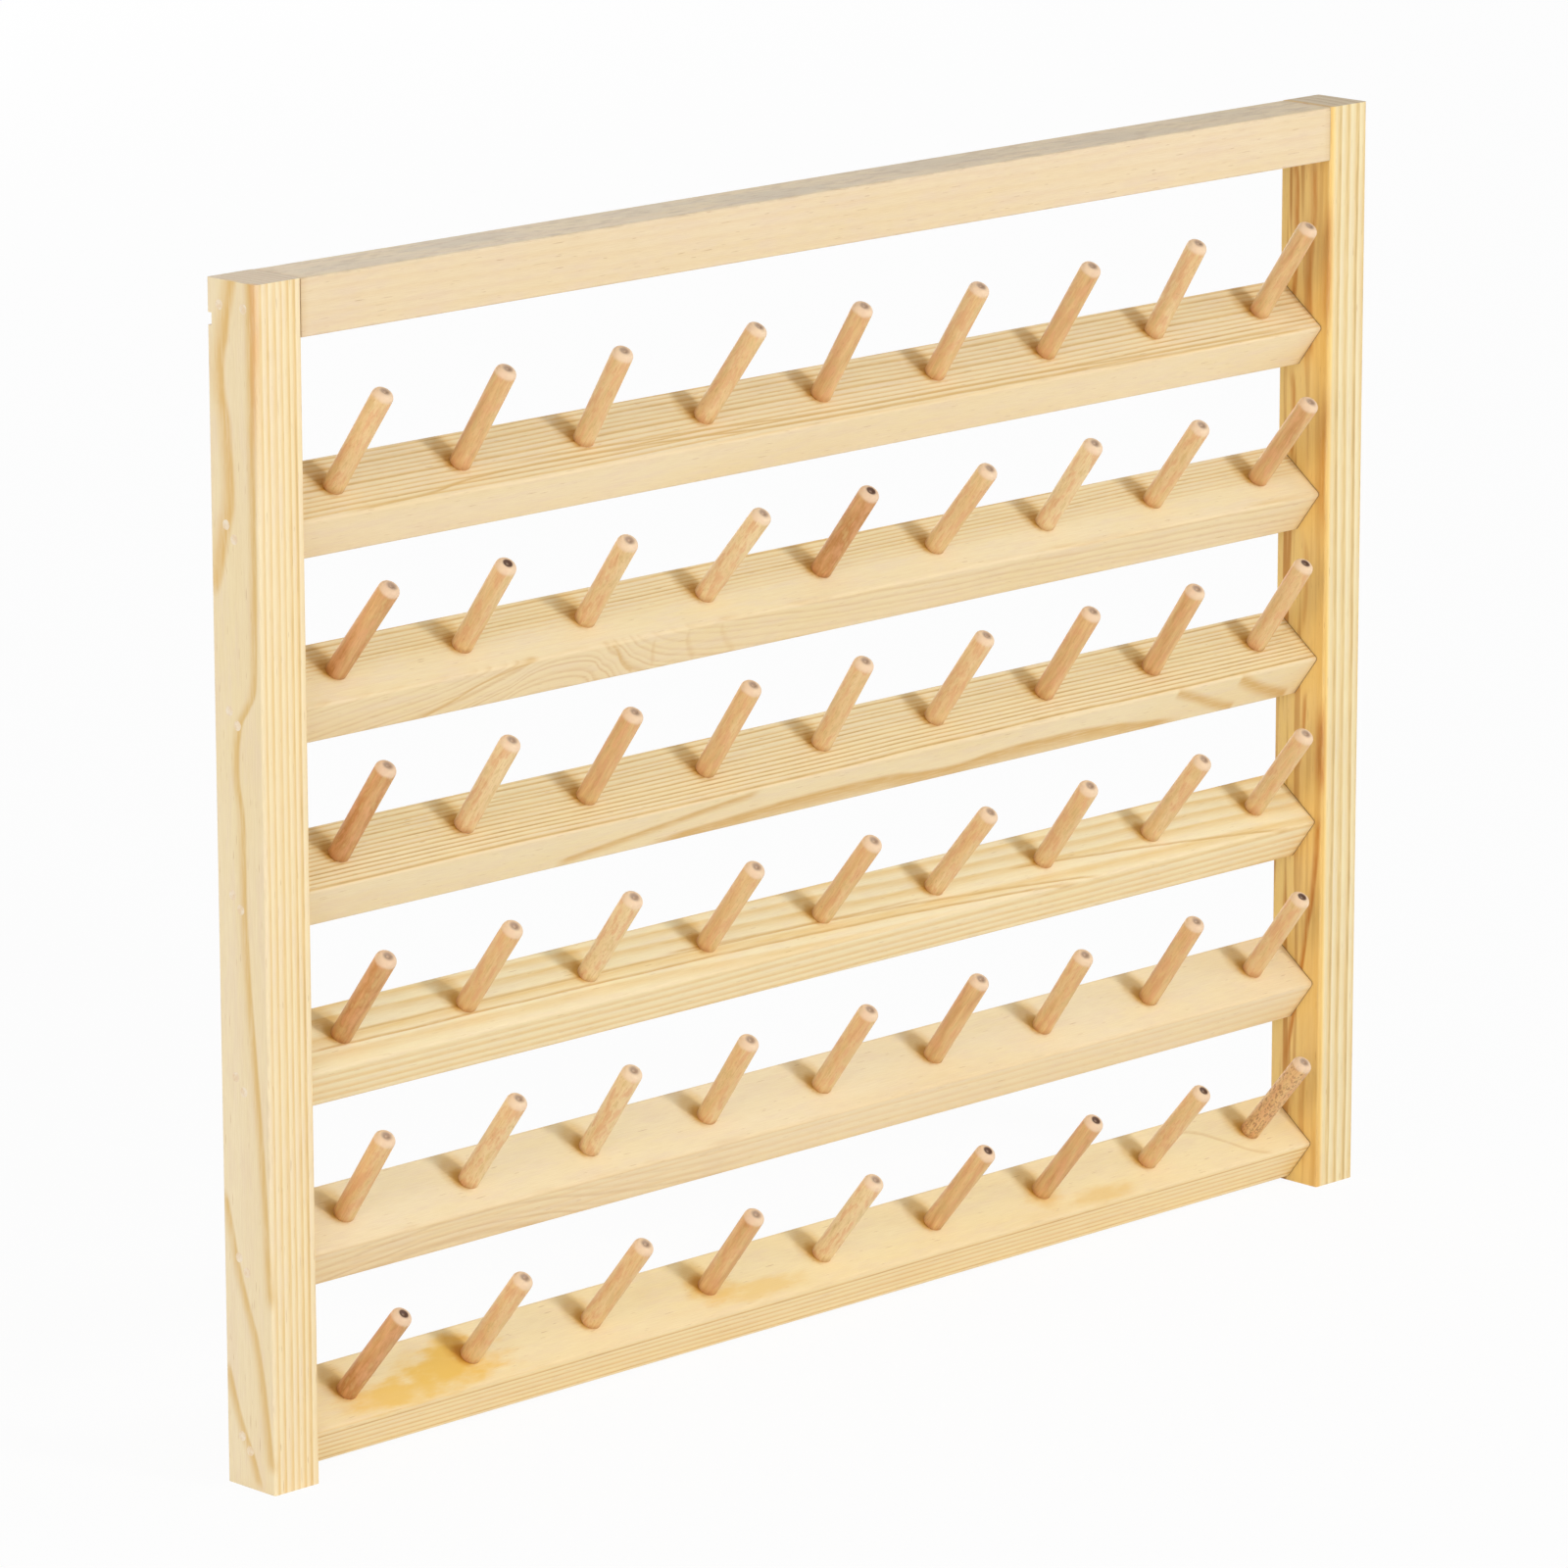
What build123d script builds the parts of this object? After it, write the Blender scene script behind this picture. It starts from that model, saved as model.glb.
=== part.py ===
from build123d import *
import math
import os

# Wall rack for sewing thread: two posts, a top rail between them, and tilted slats that carry
# rows of round pegs. It hangs from a ring hanger on the back of each post.
# Millimetres. X runs along the rack, +Y points to the wall and +Z is up.
# The origin is the centre of the top rail's back face, in the plane of the posts' backs.

# The frame
rack_width = 410.0       # over the outer faces of the posts
rack_height = 312.0
frame_depth = 18.0       # front to back, the same for the posts and the rail
post_width = 15.0
rail_height = 15.0
arris_radius = 0.5       # the sanded long edges of the posts and the rail

# The slats, measured on the square strip before its back edge is bevelled
slat_count = 6
first_slat_drop = 50.3   # from the top of the rack to the first slat's upper back edge
last_slat_lift = 24.7    # from the posts' feet to the last slat's upper back edge
slat_face_width = 20.0   # the upper face, which carries the pegs
slat_thickness = 15.0
slat_tilt = 37.0         # degrees by which the upper face falls towards the front
slat_nose_radius = 0.9
slat_heel_radius = 1.2
slat_back_radius = 0.3

# The pegs, which stand square to the slat's upper face
peg_count = 9            # on each slat
end_peg_gap = 18.0       # from a post's inner face to the nearest peg's axis
peg_diameter = 5.8       # a 6 mm dowel after sanding
peg_reach = 31.6         # from the slat's face to the peg's end
peg_seat = 7.5           # the glued tenon inside the slat
peg_hole_spare = 0.5     # empty depth under the peg
peg_setback = 10.5       # from the slat's upper back edge to the peg's axis, along the face
peg_tip_length = 1.5     # the rounded end
peg_tip_flat_diameter = 2.6
peg_tip_bulge_share = 0.7    # how far the rounding's middle goes towards the square corner
peg_mark_diameter = 1.2  # the lathe's centre mark in the end
peg_mark_depth = 0.5
peg_shoulder_width = 0.3     # from the peg's side in to its tenon
peg_shoulder_chamfer = 0.2
peg_root_chamfer = 0.5

# The brads through the posts, two to each end of a crosspiece
brad_length = 25.0
brad_diameter = 1.2
brad_head_diameter = 2.0
brad_head_height = 0.8
brad_set_depth = 1.6     # how far the head is punched below the post's face
filler_diameter = 2.6
slat_brad_shares = ((0.57, 0.38), (0.79, 0.44))  # of the face from its back edge, of the thickness
rail_brad_shares = ((0.25, 0.43), (0.75, 0.43))  # of the depth from the back, of the height from the top

# The chip in the back edge of the left post
chip_depth = 1.6
chip_height = 3.2
chip_drop = 10.4

# The ring hangers
hanger_edge_gap = 7.0    # from a post's outer face to the hanger's middle
hinge_drop = 20.0        # from the top of the rack to the ring's hinge line
plate_thickness = 0.8
plate_foot_gap = 5.0     # from the screw to the plate's lower end
plate_corner_radius = 1.5
wire_diameter = 1.6
knuckle_clearance = 0.3  # round the wire
knuckle_end_gap = 0.3    # beside the ring's bent corners
knuckle_wrap = 300.0     # degrees of the rolled end
ring_bar_width = 7.6     # between the centres of the ring's two sides
ring_side_length = 5.0
ring_corner_radius = 1.0
ring_butt_gap = 0.3      # where the two ends of the wire meet, inside the knuckle
screw_ring_gap = 1.9     # from the hanging ring to the screw's head
screw_length = 12.0
screw_diameter = 2.2
screw_point_length = 2.5
screw_point_diameter = 0.6
screw_head_diameter = 4.4
screw_head_rim = 0.4
screw_head_height = 1.5
screw_recess_width = 0.7
screw_recess_length = 2.6
screw_recess_depth = 0.8
screw_hole_clearance = 0.15

cut_overrun = 1.0        # how far every cutter runs past the face that it opens

# Places that follow from the sizes above
rack_top = rail_height / 2
rack_bottom = rack_top - rack_height
half_width = rack_width / 2
inner_half_width = half_width - post_width
rack_front = -frame_depth
slat_pitch = (rack_height - first_slat_drop - last_slat_lift) / (slat_count - 1)
peg_pitch = 2 * (inner_half_width - end_peg_gap) / (peg_count - 1)
peg_tenon_radius = peg_diameter / 2 - peg_shoulder_width
tilt = math.radians(slat_tilt)
down_face = (-math.cos(tilt), -math.sin(tilt))       # Y, Z along the upper face, to the front
into_slat = (math.sin(tilt), -math.cos(tilt))        # Y, Z square to the upper face, inwards
hinge_height = rack_top - hinge_drop
knuckle_inner_radius = wire_diameter / 2 + knuckle_clearance
knuckle_outer_radius = knuckle_inner_radius + plate_thickness
hinge_back = knuckle_outer_radius
hanger_centre = half_width - hanger_edge_gap
ring_reach = ring_side_length + ring_bar_width / 2 + wire_diameter / 2
screw_drop = ring_reach + screw_ring_gap + screw_head_diameter / 2
plate_length = screw_drop + plate_foot_gap
plate_width = ring_bar_width - 2 * (ring_corner_radius + knuckle_end_gap)
on_base = (Align.CENTER, Align.CENTER, Align.MIN)
sides = {"left": -1, "right": 1}


def rod(radius, start, direction, length):
    """A round bar from start along direction."""
    return Plane(origin=start, z_dir=direction) * Cylinder(radius, length, align=on_base)


def bar(low, high):
    """A block between two opposite corners."""
    size = [b - a for a, b in zip(low, high)]
    return Pos(*low) * Box(*size, align=(Align.MIN, Align.MIN, Align.MIN))


def slat_edge_height(row):
    """The height of a slat's upper back edge; row 0 is the top slat."""
    return rack_top - first_slat_drop - row * slat_pitch


def rail_brad_places():
    """Y and Z of the brads in each end of the rail."""
    return [(-back * frame_depth, rack_top - down * rail_height) for back, down in rail_brad_shares]


def slat_brad_places(row):
    """Y and Z of the brads in each end of a slat."""
    places = []
    for along_share, deep_share in slat_brad_shares:
        along, deep = along_share * slat_face_width, deep_share * slat_thickness
        y = along * down_face[0] + deep * into_slat[0]
        places.append((y, slat_edge_height(row) + along * down_face[1] + deep * into_slat[1]))
    return places


def brad_places():
    """Y and Z of every brad in one post."""
    places = rail_brad_places()
    for row in range(slat_count):
        places += slat_brad_places(row)
    return places


def brad_parts(side, y, z, grow=0.0):
    """The head and shank of a brad driven inwards from a post's outer face."""
    inward = (-side, 0, 0)
    head_x = side * (half_width - brad_set_depth)
    shank_x = head_x - side * brad_head_height
    head = rod(brad_head_diameter / 2 + grow, (head_x, y, z), inward, brad_head_height)
    shank = rod(brad_diameter / 2 + grow, (shank_x, y, z), inward, brad_length - brad_head_height)
    return head + shank


def filler_plug(side, y, z, overrun=0.0):
    """The putty over a brad's head, flush with the post's outer face."""
    start = (side * (half_width - brad_set_depth), y, z)
    return rod(filler_diameter / 2, start, (side, 0, 0), brad_set_depth + overrun)


def without_brads(piece, side, places):
    """Cuts the brads' holes, and the filled mouths over their heads, out of a wooden piece."""
    for y, z in places:
        piece -= brad_parts(side, y, z)
        piece -= filler_plug(side, y, z, cut_overrun)
    return piece


def screw_place(side):
    return (side * hanger_centre, 0, hinge_height - screw_drop)


def post(side):
    outer, inner = side * half_width, side * inner_half_width
    body = bar((min(outer, inner), rack_front, rack_bottom), (max(outer, inner), 0, rack_top))
    body = fillet(body.edges().filter_by(Axis.Z), arris_radius)
    body = without_brads(body, side, brad_places())
    x, y, z = screw_place(side)
    body -= screw_shank((x, plate_thickness, z))
    if side == sides["left"]:
        body -= Pos(outer, 0, rack_top - chip_drop) * Cylinder(chip_depth, chip_height)
    return body


def top_rail():
    low = (-inner_half_width, rack_front, rack_top - rail_height)
    body = bar(low, (inner_half_width, 0, rack_top))
    body = fillet(body.edges().filter_by(Axis.X), arris_radius)
    for side in sides.values():
        body = without_brads(body, side, rail_brad_places())
    return body


def slat_outline(row):
    """Y and Z of the slat's section: a square strip, tilted, with its back planed to the wall."""
    z = slat_edge_height(row)
    back_edge = (0, z)
    nose = (slat_face_width * down_face[0], z + slat_face_width * down_face[1])
    heel = (nose[0] + slat_thickness * into_slat[0], nose[1] + slat_thickness * into_slat[1])
    under = (0, heel[1] - heel[0] * math.tan(tilt))
    return [back_edge, nose, heel, under]


def peg_base(row, place):
    """Where a peg's axis leaves the slat's upper face."""
    x = (place - (peg_count - 1) / 2) * peg_pitch
    y = peg_setback * down_face[0]
    return (x, y, slat_edge_height(row) + peg_setback * down_face[1])


def slat(row):
    section = make_face(Polyline(*slat_outline(row), close=True))
    placed = Plane(origin=(-inner_half_width, 0, 0), x_dir=(0, 1, 0), z_dir=(1, 0, 0)) * section
    body = extrude(placed, amount=2 * inner_half_width)
    long_edges = body.edges().filter_by(Axis.X)
    nose, heel = long_edges.sort_by(Axis.Y)[0], long_edges.sort_by(Axis.Z)[0]
    back_edge = long_edges.sort_by(Axis.Z)[-1]
    body = fillet(nose, slat_nose_radius)
    body = fillet(body.edges().filter_by(Axis.X).sort_by_distance(heel.center())[0], slat_heel_radius)
    body = fillet(body.edges().filter_by(Axis.X).sort_by_distance(back_edge.center())[0], slat_back_radius)
    for side in sides.values():
        body = without_brads(body, side, slat_brad_places(row))
    inward = (0, into_slat[0], into_slat[1])
    for place in range(peg_count):
        body -= rod(peg_tenon_radius, peg_base(row, place), inward, peg_seat + peg_hole_spare)
    return body


def peg():
    """One peg, standing on Z with its shoulder at the origin and its tenon below it."""
    radius, flat = peg_diameter / 2, peg_tip_flat_diameter / 2
    shoulder = peg_reach - peg_tip_length
    middle = (flat + (radius - flat) * peg_tip_bulge_share,
              shoulder + peg_tip_length * peg_tip_bulge_share)
    side_line = Polyline(
        (0, peg_reach - peg_mark_depth),
        (0, -peg_seat),
        (peg_tenon_radius - peg_root_chamfer, -peg_seat),
        (peg_tenon_radius, peg_root_chamfer - peg_seat),
        (peg_tenon_radius, 0),
        (radius - peg_shoulder_chamfer, 0),
        (radius, peg_shoulder_chamfer),
        (radius, shoulder),
    )
    rounding = ThreePointArc((radius, shoulder), middle, (flat, peg_reach))
    end = Polyline(
        (flat, peg_reach),
        (peg_mark_diameter / 2, peg_reach),
        (0, peg_reach - peg_mark_depth),
    )
    return revolve(Plane.XZ * make_face(side_line + rounding + end), axis=Axis.Z)


def pegs(row):
    outward = (0, -into_slat[0], -into_slat[1])
    one = peg()
    spots = [Plane(origin=peg_base(row, n), x_dir=(1, 0, 0), z_dir=outward) for n in range(peg_count)]
    return [spot * one for spot in spots]


def brads(side):
    return [brad_parts(side, y, z) for y, z in brad_places()]


def fillers(side):
    return [filler_plug(side, y, z) for y, z in brad_places()]


def hanger_plate(side):
    """A strap that lies on the post's back, its upper end rolled round the ring's bar."""
    strap = make_face(Polyline((0, 0), (plate_thickness, 0), (plate_thickness, -plate_length),
                               (0, -plate_length), close=True))
    hinge = Pos(hinge_back, 0)
    curl = hinge * (Circle(knuckle_outer_radius) - Circle(knuckle_inner_radius))
    reach = 2 * knuckle_outer_radius
    open_half = math.radians(knuckle_wrap - 180)
    mouth = make_face(Polyline((0, 0), (-reach, 0), (-reach, -reach), (0, -reach),
                               (reach * math.cos(open_half), -reach * math.sin(open_half)), close=True))
    section = strap + (curl - hinge * mouth)
    x = side * hanger_centre - plate_width / 2
    placed = Plane(origin=(x, 0, hinge_height), x_dir=(0, 1, 0), z_dir=(1, 0, 0)) * section
    body = extrude(placed, amount=plate_width)
    foot_corners = body.edges().filter_by(Axis.Y).sort_by(Axis.Z)[:2]
    body = fillet(foot_corners, plate_corner_radius)
    x, y, z = screw_place(side)
    hole = screw_diameter / 2 + screw_hole_clearance
    return body - rod(hole, (x, -cut_overrun, z), (0, 1, 0), plate_thickness + 2 * cut_overrun)


def hanger_ring(side):
    """A wire bent to a D, hanging from its straight bar."""
    half = ring_bar_width / 2
    turn = ring_corner_radius
    start = ring_butt_gap / 2
    path = Line((start, 0), (half - turn, 0))
    path += CenterArc((half - turn, -turn), turn, 90, -90)
    path += Line((half, -turn), (half, -ring_side_length))
    path += CenterArc((0, -ring_side_length), half, 0, -180)
    path += Line((-half, -ring_side_length), (-half, -turn))
    path += CenterArc((turn - half, -turn), turn, 180, -90)
    path += Line((turn - half, 0), (-start, 0))
    plane = Plane(origin=(side * hanger_centre, hinge_back, hinge_height), x_dir=(1, 0, 0), z_dir=(0, -1, 0))
    end = Plane(origin=(start, 0, 0), z_dir=(1, 0, 0)) * Circle(wire_diameter / 2)
    return plane * sweep(end, path=path)


def screw_shank(head_seat):
    """The screw's shank and point, driven forward from the seat of its head."""
    x, y, z = head_seat
    forward = (0, -1, 0)
    straight = screw_length - screw_point_length
    shank = rod(screw_diameter / 2, head_seat, forward, straight)
    point = Plane(origin=(x, y - straight, z), z_dir=forward) * Cone(
        screw_diameter / 2, screw_point_diameter / 2, screw_point_length, align=on_base)
    return shank + point


def hanger_screw(side):
    x, y, z = screw_place(side)
    seat = (x, plate_thickness, z)
    radius = screw_head_diameter / 2
    outline = Polyline((0, screw_head_height), (0, 0), (radius, 0), (radius, screw_head_rim))
    dome_radius = (radius ** 2 + (screw_head_height - screw_head_rim) ** 2) / (
        2 * (screw_head_height - screw_head_rim))
    dome = RadiusArc((radius, screw_head_rim), (0, screw_head_height), -dome_radius)
    head = revolve(Plane.XZ * make_face(outline + dome), axis=Axis.Z)
    slot = Box(screw_recess_length, screw_recess_width, 2 * screw_recess_depth)
    for turned in (0, 90):
        head -= Pos(0, 0, screw_head_height) * Rot(0, 0, turned) * slot
    head = Plane(origin=seat, z_dir=(0, 1, 0)) * head
    return head + screw_shank(seat)


def save(name, shape):
    """Writes one node; a list of solids stays a group of separate solids."""
    if isinstance(shape, list):
        shape = Compound(children=shape)
    export_step(shape, f"parts/{name}.step")
    print(name)


os.makedirs("parts", exist_ok=True)
save("top_rail", top_rail())
for row in range(slat_count):
    save(f"slat_{row + 1}", slat(row))
    save(f"pegs_row_{row + 1}", pegs(row))
for name, side in sides.items():
    save(f"{name}_post", post(side))
    save(f"{name}_brads", brads(side))
    save(f"{name}_fillers", fillers(side))
    save(f"{name}_hanger_plate", hanger_plate(side))
    save(f"{name}_hanger_ring", hanger_ring(side))
    save(f"{name}_hanger_screw", hanger_screw(side))
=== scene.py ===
import bpy
import bmesh
import math
from mathutils import Matrix, Vector


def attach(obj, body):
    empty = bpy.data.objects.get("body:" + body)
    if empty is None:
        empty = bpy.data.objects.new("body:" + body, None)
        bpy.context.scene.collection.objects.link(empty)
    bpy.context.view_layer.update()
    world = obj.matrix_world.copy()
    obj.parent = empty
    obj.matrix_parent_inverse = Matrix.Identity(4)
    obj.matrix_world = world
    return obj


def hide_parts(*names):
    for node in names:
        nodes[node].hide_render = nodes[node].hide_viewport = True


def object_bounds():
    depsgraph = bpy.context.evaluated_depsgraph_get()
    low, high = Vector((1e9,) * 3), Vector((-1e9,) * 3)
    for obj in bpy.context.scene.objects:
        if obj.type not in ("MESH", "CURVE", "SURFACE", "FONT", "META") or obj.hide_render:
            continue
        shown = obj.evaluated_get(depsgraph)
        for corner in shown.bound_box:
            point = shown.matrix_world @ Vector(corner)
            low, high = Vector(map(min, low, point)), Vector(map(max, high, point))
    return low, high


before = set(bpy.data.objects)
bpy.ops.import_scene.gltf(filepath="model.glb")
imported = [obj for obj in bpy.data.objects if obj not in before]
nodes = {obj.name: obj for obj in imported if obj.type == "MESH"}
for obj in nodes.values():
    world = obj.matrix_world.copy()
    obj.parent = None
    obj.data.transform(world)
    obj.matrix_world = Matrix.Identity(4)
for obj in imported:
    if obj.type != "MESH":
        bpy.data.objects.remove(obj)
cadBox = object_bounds()
print("frame loaded,", len(nodes), "pieces")

mm = 0.001


# Short ways to wire a tree. A value is a number, a colour or another node's output.
def feed(tree, socket, value):
    if isinstance(value, bpy.types.NodeSocket):
        tree.links.new(value, socket)
    elif value is not None:
        socket.default_value = value


def fill(tree, node, values):
    for name, value in values.items():
        feed(tree, node.inputs[name], value)


def maths(tree, operation, first, second=None, third=None, clamp=False):
    node = tree.nodes.new("ShaderNodeMath")
    node.operation = operation
    node.use_clamp = clamp
    for socket, value in zip(node.inputs, (first, second, third)):
        feed(tree, socket, value)
    return node.outputs[0]


def times(tree, first, second, clamp=False):
    return maths(tree, "MULTIPLY", first, second, clamp=clamp)


def timesPlus(tree, first, second, third):
    return maths(tree, "MULTIPLY_ADD", first, second, third)


def minus(tree, first, second):
    return maths(tree, "SUBTRACT", first, second)


def apart(tree, first, second):
    return maths(tree, "ABSOLUTE", minus(tree, first, second))


def swayed(tree, value, chance, amount, clamp=False):
    # a value pushed up or down by a noise, whose middle is 0.5
    return maths(tree, "MULTIPLY_ADD", minus(tree, chance, 0.5), amount, value, clamp)


def vectorMaths(tree, operation, first, second=None):
    node = tree.nodes.new("ShaderNodeVectorMath")
    node.operation = operation
    feed(tree, node.inputs[0], first)
    feed(tree, node.inputs[1], second)
    return node.outputs["Value" if operation in ("LENGTH", "DOT_PRODUCT") else "Vector"]


def splitUp(tree, vector):
    node = tree.nodes.new("ShaderNodeSeparateXYZ")
    feed(tree, node.inputs[0], vector)
    return node.outputs


def joined(tree, x, y, z):
    node = tree.nodes.new("ShaderNodeCombineXYZ")
    for socket, value in zip(node.inputs, (x, y, z)):
        feed(tree, socket, value)
    return node.outputs[0]


def noise(tree, vector, scale, detail, roughness=0.5, colour=False):
    node = tree.nodes.new("ShaderNodeTexNoise")
    fill(tree, node, {"Vector": vector, "Scale": scale, "Detail": detail, "Roughness": roughness})
    return node.outputs["Color" if colour else "Fac"]


def remap(tree, value, low, high, toLow=0.0, toHigh=1.0, smooth=True):
    node = tree.nodes.new("ShaderNodeMapRange")
    node.interpolation_type = "SMOOTHSTEP" if smooth else "LINEAR"
    for socket, given in zip(node.inputs, (value, low, high, toLow, toHigh)):
        feed(tree, socket, given)
    return node.outputs[0]


def grained(tree, place, look, colour=False):
    # noise along the fibres: look holds how it is squeezed across, deep and along, its detail and
    # roughness, and what goes into remap where it is remapped
    squeeze, detail, roughness, *strengths = look
    value = noise(tree, vectorMaths(tree, "MULTIPLY", place, squeeze), 1.0, detail, roughness, colour)
    return remap(tree, value, *strengths) if strengths else value


def colourOf(value):
    return value if isinstance(value, bpy.types.NodeSocket) else (*value, 1.0)


def mixed(tree, amount, first, second, blend="MIX"):
    node = tree.nodes.new("ShaderNodeMix")
    node.data_type = "RGBA"
    node.blend_type = blend
    node.clamp_factor = True
    for place, value in ((0, amount), (6, colourOf(first)), (7, colourOf(second))):
        feed(tree, node.inputs[place], value)
    return node.outputs[2]


def ramp(tree, value, stops):
    node = tree.nodes.new("ShaderNodeValToRGB")
    points = node.color_ramp.elements
    while len(points) < len(stops):
        points.new(0.5)
    for point, (place, shade) in zip(points, stops):
        point.position = place
        point.color = (shade, shade, shade, 1) if isinstance(shade, (int, float)) else (*shade, 1)
    feed(tree, node.inputs[0], value)
    return node.outputs[0]


def bump(tree, height, strength, distance):
    node = tree.nodes.new("ShaderNodeBump")
    fill(tree, node, {"Strength": strength, "Distance": distance, "Height": height})
    return node.outputs[0]


def newMaterial(name):
    material = bpy.data.materials.new(name)
    material.use_nodes = True
    return material, material.node_tree, material.node_tree.nodes["Principled BSDF"]


def finished(tree, surface, colour, roughness, height, skin):
    # skin holds the bump's strength and depth, and the specular level
    strength, depth, specular = skin
    fill(tree, surface, {"Base Color": colour, "Roughness": roughness, "Specular IOR Level": specular,
                         "Normal": bump(tree, height, strength, depth)})


def dressIn(names, material):
    for name in names:
        for slot in nodes[name].material_slots:
            slot.material = material


def newSocket(tree, name, kind, value=None, way="INPUT"):
    socket = tree.interface.new_socket(name=name, in_out=way, socket_type="NodeSocket" + kind)
    if value is not None:
        socket.default_value = value


def millimetres(tree, rotation=(0, 0, 0), location=(0, 0, 0)):
    # a place in the rack's frame in mm, turned and moved to a piece's own axes, and the face's direction
    coords = tree.nodes.new("ShaderNodeTexCoord").outputs
    mapping = tree.nodes.new("ShaderNodeMapping")
    fill(tree, mapping, {"Vector": coords["Object"], "Scale": (1000, 1000, 1000),
                         "Rotation": rotation, "Location": location})
    return mapping.outputs["Vector"], coords["Normal"]


# The growth rings, fibres and resin of a pine board, solid through its whole thickness.
# Its vector is in millimetres: x across, y deep and z along the board.
pine = {
    "pale": (0.96, 0.83, 0.57), "cream": (0.945, 0.8, 0.495), "pinkish": (0.925, 0.775, 0.56),
    "amber": (0.865, 0.635, 0.305), "latewood": (0.56, 0.335, 0.125), "honey": (0.83, 0.56, 0.215),
    "duct": (0.56, 0.33, 0.12), "fibreShade": (0.93, 0.9, 0.85),
    "endGrain": (0.56, 0.41, 0.29), "endLate": (0.42, 0.27, 0.17), "endGrit": (0.6, 0.44, 0.28),
    "glueStainAndShade": (0.77, 0.585, 0.27), "gap": (0.25, 0.14, 0.06), "dust": (0.62, 0.47, 0.3),
    "roughness": (0.44, 0.6), "skin": (0.35, 0.00012, 0.32),
}
# what each board can set for itself, with the values that it has otherwise
boardInputs = {
    "Pith Across": -60.0, "Pith Deep": 0.0, "Lean Across": 0.0, "Lean Deep": 0.0, "Ring Width": 1.5, "Contrast": 0.8,
    "Narrowness": 1.0, "Warp": 3.0, "Warp Length": 120.0, "Ripple": 0.2, "Honey": 0.0, "Warmth": 0.5,
}
pineNoise = {
    "ripple": ((0.22, 0.22, 0.035), 2.0, 0.5),
    "fibres": ((5.5, 5.5, 0.16), 4.0, 0.62),
    "mottle": ((1.1, 1.1, 0.075), 3.0, 0.55, 0.28, 0.7, 0.65, 1.15, False),
    "tone": ((0.09, 0.09, 0.012), 3.0, 0.5, 0.32, 0.68, -0.35, 0.35),
    "cloud": ((0.3, 0.3, 0.06), 4.0, 0.65, 0.42, 0.7, 0.0, 0.75),
    "honey": ((0.13, 0.13, 0.022), 3.0, 0.55, 0.52, 0.74),
    "ducts": ((2.6, 2.6, 0.19), 0.0, 0.5, 0.765, 0.83, 0.0, 0.45),
    "lineWander": ((0.16, 0.16, 0.05), 2.0, 0.5),
    "lineBreaks": ((1.3, 1.3, 0.11), 3.0, 0.6, 0.25, 0.6, 0.55, 1.0),
    "figureWander": ((0.1, 0.1, 0.035), 2.0, 0.5),
    "figureBreaks": ((1.0, 1.0, 0.09), 3.0, 0.6, 0.25, 0.62, 0.5, 1.0),
    "footStainAndShadow": ((0.8, 0.8, 0.5), 2.0, 0.5),
    "patchEdge": ((0.34, 0.34, 0.11), 3.0, 0.5),
    "blots": ((0.42, 0.42, 0.13), 4.0, 0.65, 0.46, 0.66),
    "rubbing": ((0.5, 0.5, 0.07), 3.0, 0.6),
    "goldStreaks": ((0.5, 0.3, 0.012), 2.0, 0.5),
}
# how dark a year's wood gets, from one spring to the next: in the whole board, and in rings cut flat
yearShades = [(0.0, 0.05), (0.12, 0.0), (0.4, 0.12), (0.62, 0.62), (0.76, 1.0), (0.88, 0.85), (1.0, 0.05)]
flatShades = [(0.0, 0.1), (0.15, 0.0), (0.45, 0.15), (0.68, 0.75), (0.82, 1.0), (1.0, 0.1)]


def yearly(tree, years, spread, share, shift=0.0):
    # years of uneven width
    uneven = noise(tree, joined(tree, times(tree, years, spread), shift, 0.0), 1.0, 1.0)
    return timesPlus(tree, uneven, share, years)


def yearStrength(tree, years, least):
    # each year's own luck, from least to 1
    node = tree.nodes.new("ShaderNodeTexWhiteNoise")
    node.noise_dimensions = "1D"
    feed(tree, node.inputs["W"], maths(tree, "FLOOR", years))
    return remap(tree, node.outputs["Value"], 0.0, 1.0, least, 1.0, False)


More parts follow.
